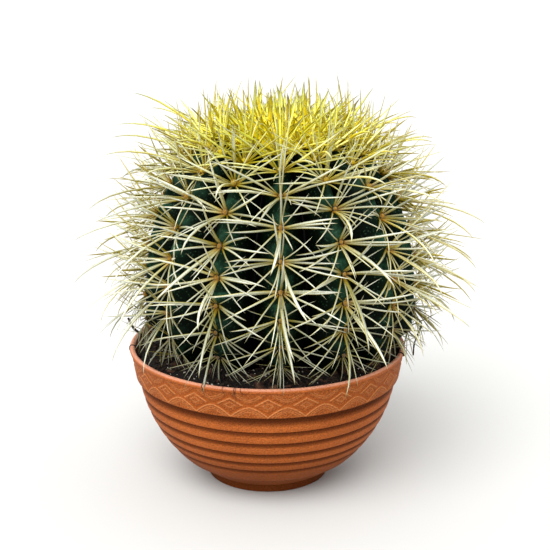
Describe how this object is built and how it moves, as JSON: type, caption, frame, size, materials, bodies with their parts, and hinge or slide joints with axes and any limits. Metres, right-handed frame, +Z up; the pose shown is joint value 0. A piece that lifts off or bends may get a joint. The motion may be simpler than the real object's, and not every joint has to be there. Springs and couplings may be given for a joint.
{
  "type": "potted barrel cactus",
  "caption": "Round ribbed barrel cactus with long straw-coloured spines, growing in soil in a low terracotta-coloured ringed bowl that stands on its foot ring.",
  "frame": {"origin": "centre of the bowl's underside, on the surface it stands on", "axes": "+Z up along the bowl's axis, -Y towards the front rib of the plant, +X to its right as seen from the front"},
  "size_m": [0.2855, 0.2886, 0.2931],
  "materials": {
    "bowl": "terracotta-coloured moulded plastic, matt with a fine stipple",
    "soil": "dark peat soil with white perlite grains and bark crumbs",
    "cactus": "waxy dark green skin with straw-coloured spines from amber cushions",
    "dry_twig": "dried dark brown twig"
  },
  "bodies": {
    "root": {"bowl": "bowl", "soil": "soil", "cactus": "cactus", "twig_left": "dry_twig", "twig_right": "dry_twig"}
  },
  "joints": []
}
